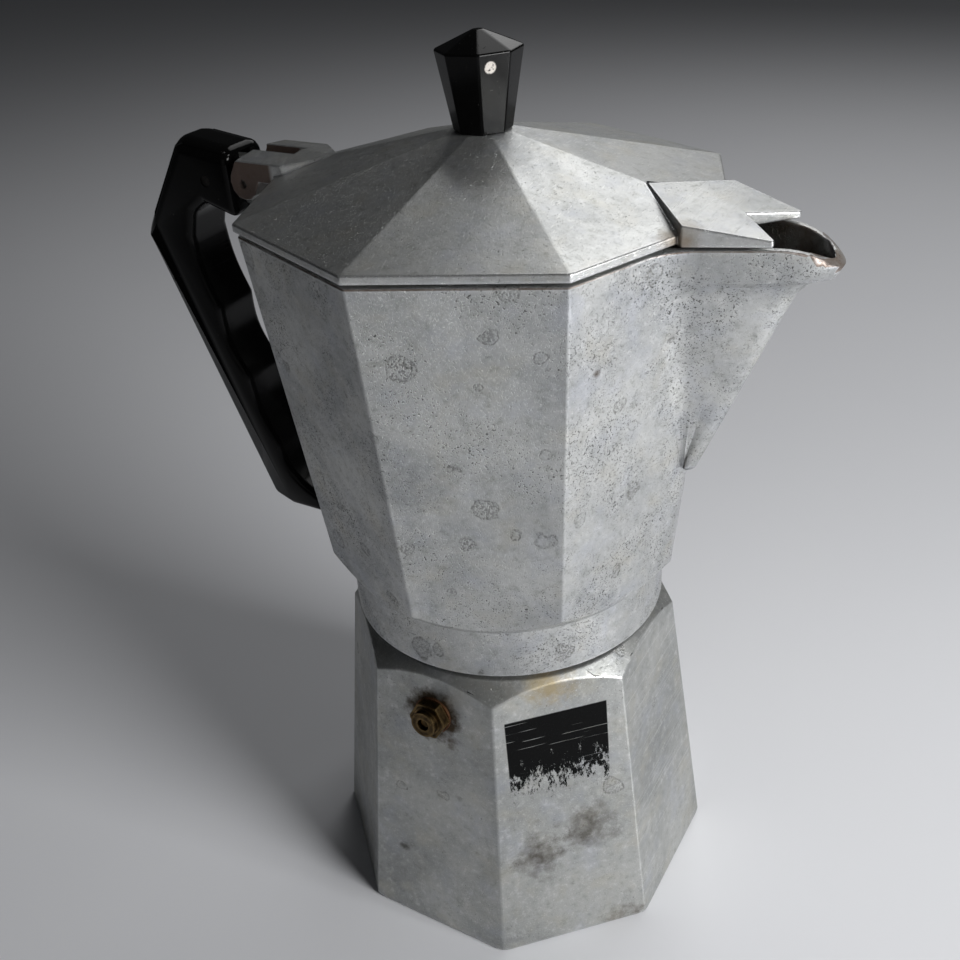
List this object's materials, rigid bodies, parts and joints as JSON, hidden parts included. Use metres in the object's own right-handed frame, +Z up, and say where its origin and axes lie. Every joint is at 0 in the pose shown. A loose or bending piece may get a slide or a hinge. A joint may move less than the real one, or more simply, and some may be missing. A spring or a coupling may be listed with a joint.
{
  "type": "moka pot",
  "caption": "Eight-sided stovetop coffee pot: boiler with safety valve, screw-on collector with spout, hinged lid with knob, cranked black handle.",
  "frame": {"origin": "on the pot's axis, at the middle of the flat underside that stands on the hob or table", "axes": "+Z up along the pot's axis, +X towards the spout, -X towards the handle, -Y towards the safety valve"},
  "size_m": [0.1996, 0.1228, 0.2483],
  "materials": {
    "cast_aluminium": "sand and die cast, tumbled, worn satin",
    "spun_aluminium": "spun and pierced sheet, satin",
    "bakelite": "black moulded phenolic, glossy",
    "brass": "machined, tarnished",
    "copper": "soft washer, dull",
    "steel": "drawn wire and pins",
    "rubber": "pale food-grade seal, matt"
  },
  "bodies": {
    "boiler_set": {"boiler": "cast_aluminium", "valve_body": "brass", "valve_washer": "copper", "valve_spring": "steel", "valve_retainer": "brass", "funnel_cup": "spun_aluminium", "funnel_stem": "spun_aluminium", "funnel_screen": "spun_aluminium"},
    "valve_pin": {"valve_poppet": "brass"},
    "seal_set": {"gasket": "rubber", "filter_plate": "spun_aluminium"},
    "collector_set": {"collector": "cast_aluminium", "riser_tube": "cast_aluminium", "riser_cap": "spun_aluminium", "hinge_pin": "steel", "handle": "bakelite", "handle_pin": "steel"},
    "lid_set": {"lid": "cast_aluminium", "knob": "bakelite", "knob_screw": "steel", "knob_washer": "steel"}
  },
  "joints": [
    {"name": "valve_lift", "type": "slide", "parent": "boiler_set", "child": "valve_pin", "axis": [0, -0.9933, 0.1152], "range_m": [0, 0.001], "stiffness_N_per_m": 600, "springref_m": -0.002, "deforming": ["valve_spring"]},
    {"name": "thread_rise", "type": "slide", "parent": "boiler_set", "child": "seal_set", "axis": [0, 0, 1], "range_m": [0, 0.0101]},
    {"name": "unscrew", "type": "hinge", "parent": "seal_set", "child": "collector_set", "pos_m": [0, 0, 0.1], "axis": [0, 0, 1], "range_deg": [0, 900]},
    {"name": "lid_hinge", "type": "hinge", "parent": "collector_set", "child": "lid_set", "pos_m": [-0.068, 0, 0.2092], "axis": [0, -1, 0], "range_deg": [0, 90]}
  ],
  "couplings": [
    {"joint": "thread_rise", "follows": "unscrew", "m_per_rad": 0.00063662}
  ]
}
